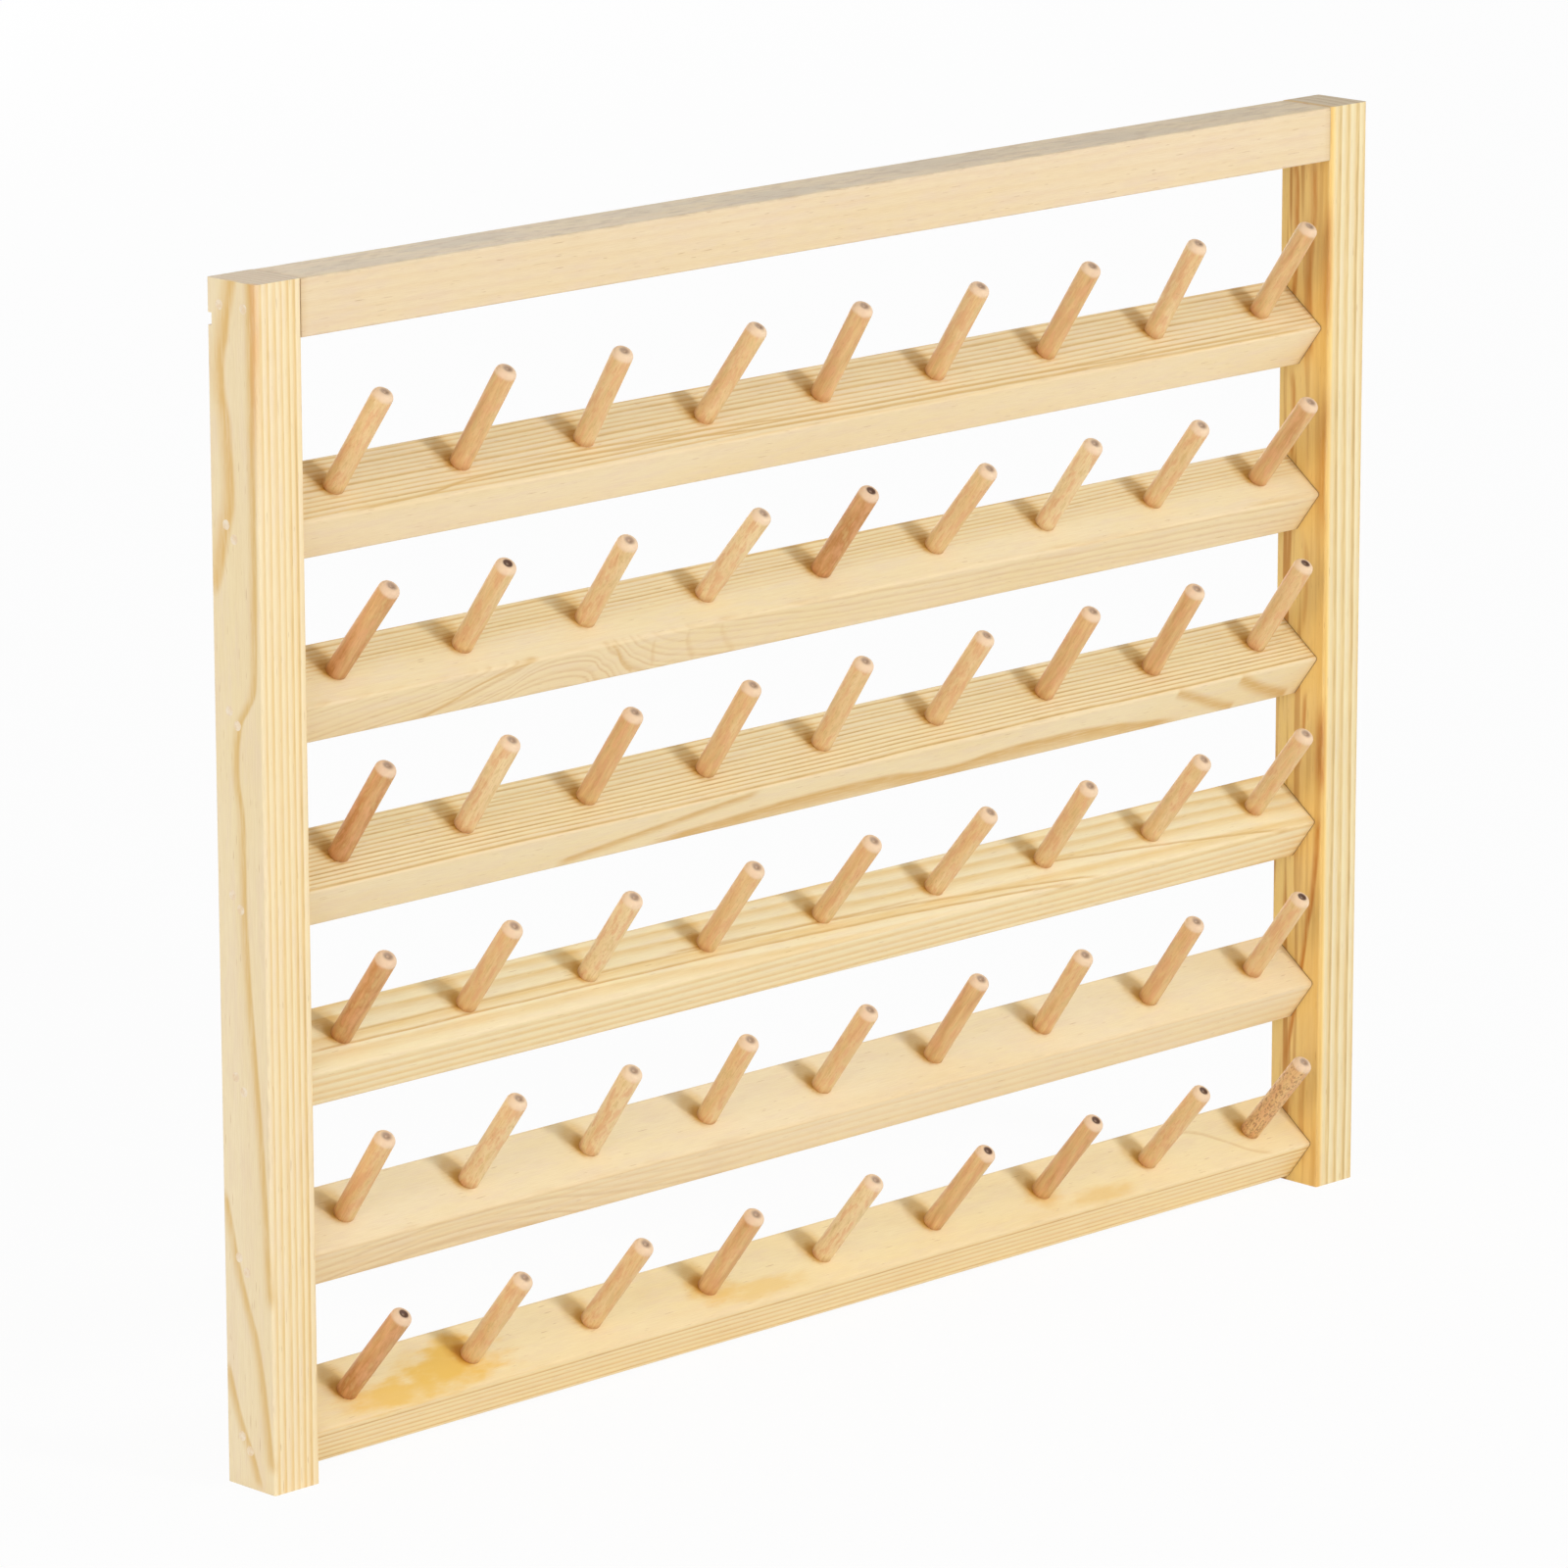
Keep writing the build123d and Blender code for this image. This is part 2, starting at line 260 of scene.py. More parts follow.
def makePineGrain():
    tree = bpy.data.node_groups.new("pineGrain", "ShaderNodeTree")
    newSocket(tree, "Vector", "Vector")
    newSocket(tree, "End", "Float")
    for name, value in boardInputs.items():
        newSocket(tree, name, "Float", value)
    for name, kind in (("Colour", "Color"), ("Roughness", "Float"), ("Height", "Float")):
        newSocket(tree, name, kind, way="OUTPUT")
    given = tree.nodes.new("NodeGroupInput").outputs
    place = given["Vector"]
    across, deep, along = splitUp(tree, place)

    # the trunk is never straight: a slow warp along the board, and a small ripple on it
    slow = maths(tree, "DIVIDE", along, given["Warp Length"])
    slowPlace = joined(tree, times(tree, across, 0.03), times(tree, deep, 0.03), slow)
    warp, ripple = (splitUp(tree, vectorMaths(tree, "SUBTRACT", sway, (0.5, 0.5, 0.5))) for sway in (
        noise(tree, slowPlace, 1.0, 2.0, 0.4, True), grained(tree, place, pineNoise["ripple"], True)))
    fromPith = []
    for axis, (start, name) in enumerate(((across, "Across"), (deep, "Deep"))):
        value = minus(tree, start, given["Pith " + name])
        value = timesPlus(tree, along, given["Lean " + name], value)
        value = timesPlus(tree, warp[axis], given["Warp"], value)
        fromPith.append(timesPlus(tree, ripple[axis], given["Ripple"], value))
    radius = vectorMaths(tree, "LENGTH", joined(tree, *fromPith, 0.0))

    # rings of uneven width: pale earlywood that darkens slowly, then ends sharply
    years = yearly(tree, maths(tree, "DIVIDE", radius, given["Ring Width"]), 0.35, 1.3)
    late = maths(tree, "POWER", ramp(tree, maths(tree, "FRACT", years), yearShades), given["Narrowness"])
    late = times(tree, late, yearStrength(tree, years, 0.62))
    late = times(tree, late, given["Contrast"])

    # fibres: long fine streaks, and a broader mottle that breaks the rings up
    fibres = grained(tree, place, pineNoise["fibres"])
    late = times(tree, late, grained(tree, place, pineNoise["mottle"]), clamp=True)
    tone = maths(tree, "ADD", grained(tree, place, pineNoise["tone"]), given["Warmth"], clamp=True)
    colour = mixed(tree, tone, pine["pale"], pine["cream"])
    colour = mixed(tree, grained(tree, place, pineNoise["cloud"]), colour, pine["pinkish"])
    colour = mixed(tree, times(tree, late, 2.0), colour, pine["amber"])
    colour = mixed(tree, timesPlus(tree, late, 2.0, -1.0), colour, pine["latewood"])

    # honey: resin-rich wood in soft patches; ducts: tiny dark dashes along the grain
    patch = times(tree, grained(tree, place, pineNoise["honey"]), given["Honey"], clamp=True)
    colour = mixed(tree, patch, colour, pine["honey"], "MULTIPLY")
    colour = mixed(tree, grained(tree, place, pineNoise["ducts"]), colour, pine["duct"])
    colour = mixed(tree, remap(tree, fibres, 0.36, 0.68, 0.0, 0.75), colour, pine["fibreShade"], "MULTIPLY")

    # sawn ends drink light: darker, with the rings plainer
    endShade = mixed(tree, times(tree, late, 1.3), pine["endGrain"], pine["endLate"])
    grit = noise(tree, place, 3.2, 2.0, 0.6)
    endShade = mixed(tree, remap(tree, grit, 0.35, 0.7, 0.0, 0.5), endShade, pine["endGrit"])
    colour = mixed(tree, times(tree, given["End"], 0.6), colour, endShade)

    rough = remap(tree, timesPlus(tree, late, -0.5, fibres), 0.1, 0.8, *pine["roughness"], False)
    height = timesPlus(tree, late, 0.55, times(tree, fibres, 0.9))
    height = timesPlus(tree, grit, times(tree, given["End"], 1.2), height)
    fill(tree, tree.nodes.new("NodeGroupOutput"), {"Colour": colour, "Roughness": rough, "Height": height})
    return tree


pineGrain = makePineGrain()
rackSizes = {
    "top": 7.5, "bottom": -304.5, "halfWidth": 205.0, "postWidth": 15.0, "depth": 18.0,
    "firstSlatDrop": 50.3, "slatPitch": 47.4, "slatTilt": 37.0, "slatFace": 20.0, "slatThickness": 15.0,
}
peg = {
    "diameter": 5.8, "reach": 31.6, "seat": 7.5, "shoulder": 0.3, "shoulderChamfer": 0.2, "seatChamfer": 0.5,
    "sunk": 0.15, "tipLength": 1.7, "tipFlat": 2.8, "mark": 1.3, "markRim": 0.25, "markBevel": 0.1, "markDepth": 0.45,
    "sides": 32, "shaftSteps": 10, "tipSteps": 7,
    "rows": 6, "places": 9, "pitch": 43.0, "rowPitch": 47.4, "setback": 10.5,
    "forward": (-4.8, 0.8, -2.4, 1.4, -0.9, 1.2), "lean": 1.0, "shorter": 0.03, "seed": 7,
}
# how far each peg leans to the right, in degrees, row by row: hand-drilled holes are never quite true
pegLeans = (6, 3, -2, 8, 0, 1, 1, 0, 4, 5, -2, -4, 5, 0, 3, 0, -2, 2, 3, 2, 2, 2, -1, 4, 1, -2, 2,
            -2, -1, -2, 0, 1, 5, -2, 3, 1, -2, 3, -2, -2, 1, 0, -4, 0, 1, 5, 4, 4, 0, 3, 3, 2, 5, 3)

# A board's own axes in the rack's frame: across, deep, along
tilt = math.radians(rackSizes["slatTilt"])
postAxes = ((1, 0, 0), (0, 1, 0), (0, 0, 1))
railAxes = ((0, 1, 0), (0, 0, 1), (1, 0, 0))
slatAxes = ((0, -math.cos(tilt), -math.sin(tilt)), (0, math.sin(tilt), -math.cos(tilt)), (1, 0, 0))


def boardPlace(tree, axes, origin, seedShift):
    # a place from the board's own corner; the shift along it gives each board other wood
    turn = Matrix(axes)
    place, normal = millimetres(tree, turn.to_euler("XYZ"), -(turn @ Vector(origin)))
    facing = maths(tree, "ABSOLUTE", vectorMaths(tree, "DOT_PRODUCT", normal, axes[2]))
    return place, vectorMaths(tree, "ADD", place, (0, 0, seedShift)), remap(tree, facing, 0.6, 0.9)


def drawnPath(tree, along, path):
    # the height, in mm, of a drawn curve over a stretch of the board; path holds (along, height)
    low, high, heights = path[0][0], path[-1][0], [v for w, v in path]
    floor, reach = min(heights) - 1.0, max(heights) - min(heights) + 2.0
    curve = tree.nodes.new("ShaderNodeFloatCurve")
    points = curve.mapping.curves[0].points
    while len(points) < len(path):
        points.new(0.5, 0.5)
    for point, (w, v) in zip(points, path):
        point.location = ((w - low) / (high - low), (v - floor) / reach)
        point.handle_type = "AUTO"
    curve.mapping.extend = "HORIZONTAL"
    curve.mapping.update()
    feed(tree, curve.inputs["Value"], remap(tree, along, low, high, 0.0, 1.0, False))
    return timesPlus(tree, curve.outputs[0], reach, floor)


axisOf = {"across": 0, "deep": 1}


def nearFace(tree, place, over, face):
    # a line drawn over one of a board's two short directions lies on a face across the other
    skin = splitUp(tree, place)[1 - axisOf[over]]
    return remap(tree, apart(tree, skin, face), 0.4, 2.2, 1.0, 0.0)


def within(tree, value, low, high, fade):
    return times(tree, remap(tree, value, low, low + fade), remap(tree, value, high - fade, high, 1.0, 0.0))


def grainLine(tree, colour, place, line):
    # one ring's late wood that wanders over a flat-sawn face
    parts = splitUp(tree, place)
    middle = drawnPath(tree, parts[2], line["path"])
    middle = swayed(tree, middle, grained(tree, place, pineNoise["lineWander"]), line.get("wander", 0.8))
    side = minus(tree, times(tree, parts[axisOf[line["over"]]], line["sign"]), middle)
    body = times(tree, remap(tree, side, -line["soft"], 0.0), remap(tree, side, 0.0, line["sharp"], 1.0, 0.0))
    ends = within(tree, parts[2], line["path"][0][0], line["path"][-1][0], line["fade"])
    skin = nearFace(tree, place, line["over"], line["face"])
    skin = times(tree, skin, grained(tree, place, pineNoise["lineBreaks"]))
    amount = times(tree, times(tree, body, ends), skin)
    return mixed(tree, times(tree, amount, line["strength"]), colour, line["colour"])


def figuredFace(tree, colour, place, figure):
    # many rings cut nearly flat: copies of one drawn curve, side by side over one face
    parts = splitUp(tree, place)
    years = minus(tree, parts[axisOf[figure["over"]]], drawnPath(tree, parts[2], figure["path"]))
    years = swayed(tree, years, grained(tree, place, pineNoise["figureWander"]), figure["wander"])
    years = yearly(tree, maths(tree, "DIVIDE", years, figure["pitch"]), 0.6, 1.6, 3.3)
    band = times(tree, ramp(tree, maths(tree, "FRACT", years), flatShades), yearStrength(tree, years, 0.35))
    band = times(tree, band, grained(tree, place, pineNoise["figureBreaks"]))
    skin = nearFace(tree, place, figure["over"], figure["face"])
    skin = times(tree, within(tree, parts[2], *figure["span"], figure["fade"]), skin)
    return mixed(tree, times(tree, times(tree, band, skin), figure["strength"]), colour, figure["colour"])


# the glue stain and painted peg shadow round a peg's foot, in mm: each ring's reach, strength and how far up the slat
# it sits
footStainAndShadow = {"rings": ((4.0, 1.0, 1.2), (6.4, 0.6, 3.8)), "shift": -1.5, "stretch": 0.8, "ragged": 1.2}


def pegStainsAndShadows(tree, colour, place):
    # a warm ring round each peg's foot, drawn out up the slat towards its back edge: partly a glue and handling stain,
    # partly painted shadow of the peg
    across, deep, along = splitUp(tree, place)
    half = peg["pitch"] / 2
    nearest = minus(tree, maths(tree, "WRAP", along, half, -half), footStainAndShadow["shift"])
    ragged = grained(tree, place, pineNoise["footStainAndShadow"])
    for reach, strength, lower in footStainAndShadow["rings"]:
        up = times(tree, minus(tree, across, peg["setback"] - lower), footStainAndShadow["stretch"])
        away = vectorMaths(tree, "LENGTH", joined(tree, nearest, up, deep))
        away = swayed(tree, away, ragged, footStainAndShadow["ragged"])
        amount = remap(tree, away, reach * 0.4, reach, strength, 0.0)
        colour = mixed(tree, amount, colour, pine["glueStainAndShade"], "MULTIPLY")
    return colour


def jointLinesAndShade(tree, colour, place, strength):
    # painted shade: the wood darkens and warms over the last 3 mm towards a post, where the parts meet, and the joint
    # itself shows as a thin dark line, part real joint and part painted contact shadow
    end = maths(tree, "ABSOLUTE", splitUp(tree, place)[2])
    inner = rackSizes["halfWidth"] - rackSizes["postWidth"]
    colour = mixed(tree, remap(tree, end, inner - 3.0, inner, 0.0, 0.25), colour, pine["glueStainAndShade"], "MULTIPLY")
    return mixed(tree, remap(tree, end, inner - 0.5, inner - 0.15, 0.0, strength), colour, pine["gap"])


def honeyPatch(tree, colour, place, patch):
    # a resin stain, in mm round its own centre, with a ragged edge along the fibres
    off = vectorMaths(tree, "SUBTRACT", place, patch["centre"])
    off = vectorMaths(tree, "MULTIPLY", off, [1.0 / size for size in patch["size"]])
    far = swayed(tree, vectorMaths(tree, "LENGTH", off), grained(tree, place, pineNoise["patchEdge"]), 1.4)
    return mixed(tree, remap(tree, far, 0.2, 1.05, patch["strength"], 0.0), colour, patch["colour"])


def mottledFace(tree, colour, place, over, at, dirt, strength):
    # blots of dirt in the skin of one face
    near = remap(tree, apart(tree, splitUp(tree, place)[axisOf[over]], at), 0.1, 0.9, 1.0, 0.0)
    near = times(tree, near, grained(tree, place, pineNoise["blots"]))
    return mixed(tree, times(tree, near, strength), colour, dirt)


def wornAndShadedArrises(tree, colour, place, arrises, arrisWearAndShade):
    # an arris takes the given tone: a touch paler by default, as sanding wear, while the slats give a darker amber,
    # painted shade that dims the light on their arrises; dusty in places
    parts, nearest = splitUp(tree, place), None
    for a, b in arrises:
        gap = joined(tree, minus(tree, parts[0], a), minus(tree, parts[1], b), 0.0)
        gap = vectorMaths(tree, "LENGTH", gap)
        nearest = gap if nearest is None else maths(tree, "MINIMUM", nearest, gap)
    rub = grained(tree, place, pineNoise["rubbing"])
    near = remap(tree, timesPlus(tree, rub, -0.8, nearest), 0.0, 0.75, 1.0, 0.0)
    colour = mixed(tree, times(tree, near, arrisWearAndShade[1]), colour, arrisWearAndShade[0])
    return mixed(tree, remap(tree, times(tree, near, rub), 0.52, 0.7, 0.0, 0.25), colour, pine["dust"])


def goldenSide(tree, colour, place, glow):
    # the resin-soaked heart side of a board: amber that deepens in long streaks
    parts, soak = splitUp(tree, place), glow["soak"]
    streaks = grained(tree, place, pineNoise["goldStreaks"])
    depth = apart(tree, parts[0], glow["face"])
    amount = remap(tree, swayed(tree, depth, streaks, 1.6), soak * 0.3, soak, glow["strength"], 0.0)
    colour = mixed(tree, amount, colour, glow["colour"], "MULTIPLY")
    dark = times(tree, remap(tree, streaks, 0.5, 0.62), remap(tree, parts[1], -14.0, -4.0, 0.3, 1.0))
    dark = times(tree, dark, remap(tree, depth, 0.2, soak, 1.0, 0.0))
    return mixed(tree, times(tree, dark, glow["streaks"]), colour, glow["streakColour"])


def dressBoard(node, board):
    material, tree, surface = newMaterial("pineOf_" + node)
    place, seeded, end = boardPlace(tree, board["axes"], board["origin"], board["seed"])
    grain = tree.nodes.new("ShaderNodeGroup")
    grain.node_tree = pineGrain
    wood = {**boardInputs, **board["wood"]}
    fill(tree, grain, {"Vector": seeded, "End": end, **wood})
    contrast = wood["Contrast"]
    if "plainPast" in board:
        # the rings flatten out towards the front and hardly show there
        start, stop, left = board["plainPast"]
        contrast = remap(tree, splitUp(tree, place)[0], start, stop, contrast, contrast * left)
    for over, at, left in board.get("plainFaces", []):
        # a face cut flat along one ring shows no lines of its own
        skin = apart(tree, splitUp(tree, place)[axisOf[over]], at)
        contrast = times(tree, remap(tree, skin, 0.05, 0.6, left, 1.0), contrast)
    feed(tree, grain.inputs["Contrast"], contrast)
    colour = mixed(tree, 1.0, grain.outputs["Colour"], board.get("shade", (1, 1, 1)), "MULTIPLY")
    for draw, details in ((figuredFace, "figures"), (grainLine, "lines"), (honeyPatch, "patches")):
        for detail in board.get(details, []):
            colour = draw(tree, colour, place, detail)
    if "mottled" in board:
        colour = mottledFace(tree, colour, place, *board["mottled"])
    if "glow" in board:
        colour = goldenSide(tree, colour, place, board["glow"])
    colour = wornAndShadedArrises(tree, colour, place, board["arrises"], board.get("arrisWearAndShade", ((0.95, 0.8, 0.57), 0.06)))
    # pegged slats get a glue stain and painted peg shadow round each foot
    if board.get("pegged"):
        colour = pegStainsAndShadows(tree, colour, place)
    # painted shade in the corner towards each post, and the dark joint line
    if board.get("jointed"):
        colour = jointLinesAndShade(tree, colour, place, board["jointed"])
    finished(tree, surface, colour, grain.outputs["Roughness"], grain.outputs["Height"], pine["skin"])
    dressIn([node], material)


def drawnLine(path, soft, sharp, strength, fade, **rest):
    # how gently a ring sets in, how sharply it ends and how it thins out along the board, in mm
    return {"path": path, "soft": soft, "sharp": sharp, "strength": strength, "fade": fade, **rest}


half, inner = rackSizes["halfWidth"], rackSizes["halfWidth"] - rackSizes["postWidth"]
postWood = {
    "left_post": {"Pith Across": -285.0, "Pith Deep": -14.0, "Ring Width": 2.15, "Contrast": 0.72, "Narrowness": 0.62,
                  "Warp": 1.1, "Warp Length": 170.0, "Ripple": 0.08, "Warmth": 0.35},
    "right_post": {"Pith Across": 150.0, "Pith Deep": -6.0, "Ring Width": 3.5, "Narrowness": 0.5,
                   "Warp": 2.4, "Warp Length": 150.0, "Ripple": 0.18, "Honey": 0.12},
}
late, amber, sideLate = (0.74, 0.49, 0.19), (0.8, 0.525, 0.195), (0.775, 0.52, 0.19)
resinous = (0.55, 0.235, 0.045)
leftLines = [
    drawnLine([(-74, 0.6), (-66, 3.4), (-56, 6.0), (-45, 8.0), (-30, 7.2), (-15, 4.8), (-6, 6.6), (7.5, 9.8),
               (14, 11.0)], 5.8, 2.2, 0.95, 5.0, colour=amber, wander=1.6),
    drawnLine([(-257, 17.8), (-225, 16.4), (-200, 14.4), (-170, 11.6), (-150, 10.6), (-128, 10.4), (-116, 8.6),
               (-107, 9.4), (-100, 13.0), (-90, 16.0), (-40, 16.4), (14, 16.0)],
              3.4, 1.1, 0.9, 6.0, colour=sideLate),
    drawnLine([(-300, 17.6), (-282, 15.4), (-266, 12.6), (-256, 9.0), (-246, 5.6), (-236, 3.2), (-226, 0.6)],
              3.6, 1.2, 0.85, 4.0, colour=sideLate),
    drawnLine([(-304.5, 13.0), (-297, 10.4), (-290, 7.0), (-281, 3.4), (-272, 0.6)],
              3.6, 1.2, 0.85, 3.0, colour=sideLate),
    drawnLine([(-55, 17.4), (0, 17.3), (60, 17.2)], 2.6, 1.4, 0.95, 48.0, colour=(0.8, 0.44, 0.15)),
]
for line in leftLines:
    line.update(over="deep", sign=-1.0, face=-half)
rightLines = [drawnLine(*given, colour=resinous, over="deep", sign=-1.0, face=inner, wander=1.2) for given in (
    ([(-52, 4.6), (-30, 6.4), (-5, 5.0)], 2.2, 1.2, 0.8, 6.0),
    ([(-66, 12.4), (-45, 11.2), (-20, 12.6), (-5, 12.0)], 2.4, 1.4, 0.75, 8.0),
    ([(-60, 18.2), (-35, 18.0), (-15, 18.4)], 3.4, 1.0, 0.65, 14.0),
    ([(-96, 4.4), (-80, 5.8), (-66, 4.6)], 2.0, 1.2, 0.7, 6.0),
    ([(-118, 17.8), (-95, 17.2), (-68, 18.2)], 3.0, 1.0, 0.55, 16.0),
    ([(-146, 9.0), (-128, 11.4), (-112, 9.6)], 2.0, 1.0, 0.45, 10.0),
    ([(-192, 18.4), (-176, 17.8), (-160, 18.2)], 3.8, 1.0, 0.85, 10.0),
    ([(-184, 8.8), (-172, 10.8), (-158, 11.8)], 1.8, 0.9, 0.75, 6.0),
    ([(-272, 5.6), (-261, 7.2), (-240, 11.6), (-228, 13.6), (-212, 16.0), (-194, 17.6)], 2.0, 1.0, 0.9, 6.0),
    ([(-300, 13.5), (-285, 12.0), (-268, 14.0)], 2.4, 1.2, 0.45, 8.0))]
postArrises = {side: [(sign * x, y) for x in (half, inner) for y in (0.0, -rackSizes["depth"])]
               for side, sign in (("left_post", -1), ("right_post", 1))}
dressBoard("left_post", {"axes": postAxes, "origin": (0, 0, 0), "seed": 0.0, "wood": postWood["left_post"],
                         "lines": leftLines, "arrises": postArrises["left_post"],
                         "plainFaces": [("across", -half, 0.1)]})
dressBoard("right_post", {
    "axes": postAxes, "origin": (0, 0, 0), "seed": 911.0, "wood": postWood["right_post"],
    "arrises": postArrises["right_post"], "shade": (0.945, 0.985, 1.0), "lines": rightLines,
    "glow": {"face": inner, "soak": 3.2, "strength": 0.9, "colour": (1.09, 0.885, 0.47),
             "streaks": 0.8, "streakColour": (0.53, 0.22, 0.04)}})
print("posts dressed")

railWood = {"Pith Across": 8.0, "Pith Deep": -70.0, "Lean Deep": 0.003, "Ring Width": 2.6, "Contrast": 0.12,
            "Ripple": 0.5, "Warmth": 0.4}
railArrises = [(y, z) for y in (0.0, -rackSizes["depth"]) for z in (rackSizes["top"], -rackSizes["top"])]
dusty = (0.64, 0.535, 0.4)
railPatches = [
    {"centre": (-9.0 + shift, rackSizes["top"], x), "size": (9.0, 1.6, reach), "strength": strength, "colour": dusty}
    for x, shift, reach, strength in (
        (-165.0, -4.0, 26.0, 0.35), (-128.0, 2.0, 30.0, 0.6), (-60.0, 4.0, 34.0, 0.35), (-20.0, -3.0, 30.0, 0.6),
        (45.0, 2.0, 40.0, 0.5), (108.0, -2.0, 36.0, 0.55), (160.0, 3.0, 26.0, 0.35))]
dressBoard("top_rail", {"axes": railAxes, "origin": (0, 0, 0), "seed": 300.0, "wood": railWood, "arrises": railArrises,
                        "patches": railPatches, "jointed": 0.22, "shade": (0.88, 0.835, 0.83),
                        "mottled": ("deep", rackSizes["top"], (0.585, 0.43, 0.275), 0.55)})
print("rail dressed")

slatWood = [
    {"Pith Across": -70.0, "Pith Deep": 10.0, "Lean Across": 0.004, "Ring Width": 1.6, "Ripple": 0.25, "Warmth": 0.45},
    {"Pith Across": -55.0, "Pith Deep": 12.0, "Lean Across": 0.006, "Ring Width": 1.3, "Warp Length": 110.0,
     "Ripple": 0.4, "Honey": 0.05, "Warmth": 0.6},
    {"Pith Across": -80.0, "Pith Deep": 6.0, "Lean Across": 0.003, "Ring Width": 1.4, "Contrast": 0.9,
     "Warp": 2.2, "Warp Length": 110.0, "Honey": 0.08},
    {"Pith Across": -30.0, "Pith Deep": -50.0, "Lean Across": -0.022, "Ring Width": 2.9, "Contrast": 0.66,
     "Narrowness": 0.6, "Warp": 2.4, "Warp Length": 130.0, "Ripple": 0.3, "Warmth": 0.3},
    {"Pith Across": 10.0, "Pith Deep": -90.0, "Lean Deep": 0.002, "Ring Width": 3.2, "Contrast": 0.3,
     "Ripple": 0.5, "Warmth": 0.25},
    {"Pith Across": 8.0, "Pith Deep": -70.0, "Lean Deep": 0.001, "Ring Width": 2.1, "Contrast": 0.85,
     "Warp": 1.4, "Warp Length": 150.0, "Honey": 0.1, "Warmth": 0.3},
]
face, thick = rackSizes["slatFace"], rackSizes["slatThickness"]
# what stands out on single slats: on the upper face "over" is across, on the front face it is deep
slatFigures = {
    1: [{"over": "deep", "face": face,
         "path": [(-190, 14.0), (-165, 10.0), (-140, 5.0), (-115, -5.0), (-98, -11.0), (-82, -5.0), (-70, 4.0),
                  (-52, 11.0), (-25, 15.0), (20, 18.0), (80, 19.0), (190, 21.5)],
         "pitch": 2.6, "wander": 2.0, "span": (-196, 196), "fade": 14.0, "strength": 0.68,
         "colour": (0.72, 0.48, 0.2)}],
    4: [{"over": "deep", "face": face,
         "path": [(-190, 9.0), (-160, 4.0), (-135, 1.0), (-110, 3.0), (-80, 9.0), (-50, 13.0), (0, 15.0)],
         "pitch": 3.4, "wander": 2.0, "span": (-196, -20), "fade": 25.0, "strength": 0.75,
         "colour": (0.76, 0.54, 0.27)}],
}
slatLines = {
    0: [drawnLine([(-175, 19.4), (-145, 18.2), (-115, 15.7), (-85, 15.7), (-50, 16.7), (-15, 18.2), (60, 18.7),
                   (135, 19.2), (188, 19.5)], 1.0, 0.45, 0.9, 12.0, over="across"),
        drawnLine([(-120, 13.2), (-50, 14.7), (10, 16.7), (60, 16.7), (120, 17.7), (188, 18.2)],
                  0.9, 0.4, 0.85, 25.0, over="across")],
    1: [drawnLine([(-144, 15.0), (-134, 10.0), (-126, 5.0), (-114, 1.0), (-108, 0.0)], 2.0, 0.8, 0.75, 3.0),
        drawnLine([(-84, 0.0), (-80, 3.0), (-75, 9.0), (-68, 14.0)], 2.0, 0.8, 0.65, 2.0),
        drawnLine([(-68, 0.0), (-66, 5.0), (-61, 14.0)], 2.8, 2.0, 0.36, 2.0),
        drawnLine([(-56, 0.0), (-53, 6.0), (-46, 14.0)], 2.8, 2.0, 0.32, 2.0),
        drawnLine([(-44, 0.0), (-40, 6.0), (-31, 14.0)], 2.4, 2.0, 0.28, 2.0)],
    2: [drawnLine([(-98, 12.5), (-82, 9.8), (-62, 6.4), (-45, 3.6), (-28, 1.2)], 1.8, 3.4, 0.95, 5.0),
        drawnLine([(-66, 14.3), (-50, 12.3), (-28, 10.3), (0, 8.6), (20, 8.6), (36, 10.6), (48, 11.0), (62, 9.4),
                   (78, 8.4), (94, 8.4), (112, 9.8), (126, 11.8), (144, 13.8)], 2.0, 8.0, 1.0, 14.0),
        drawnLine([(132, 0.8), (142, 5.0), (152, 9.6), (164, 14.0)], 3.4, 3.0, 0.95, 2.0),
        drawnLine([(158, 0.6), (166, 5.0), (174, 9.0), (186, 13.6)], 3.6, 4.4, 1.0, 2.0)],
    3: [drawnLine([(-190, 13.4), (-110, 14.0), (-15, 15.4), (60, 18.2), (98, 21.0)],
                  1.0, 0.4, 1.0, 12.0, over="across"),
        drawnLine([(-185, 10.2), (-100, 10.8), (-20, 12.0), (50, 13.4)], 0.9, 0.4, 0.8, 30.0, over="across"),
        drawnLine([(-60, 10.4), (0, 12.6), (60, 16.0), (105, 20.4)], 1.0, 0.4, 0.9, 10.0, over="across"),
        drawnLine([(70, 10.4), (110, 13.2), (147, 16.6), (185, 21.0)], 1.0, 0.4, 0.9, 10.0, over="across")],
    5: [drawnLine([(140, 3.0), (152, 6.0), (160, 11.0), (168, 17.0), (176, 20.0)],
                  1.6, 0.8, 0.5, 5.0, over="across")],
}
for line in [line for lines in slatLines.values() for line in lines]:
    over = line.setdefault("over", "deep")
    line.update(sign=1.0, colour=late, face=0.0 if over == "across" else face)
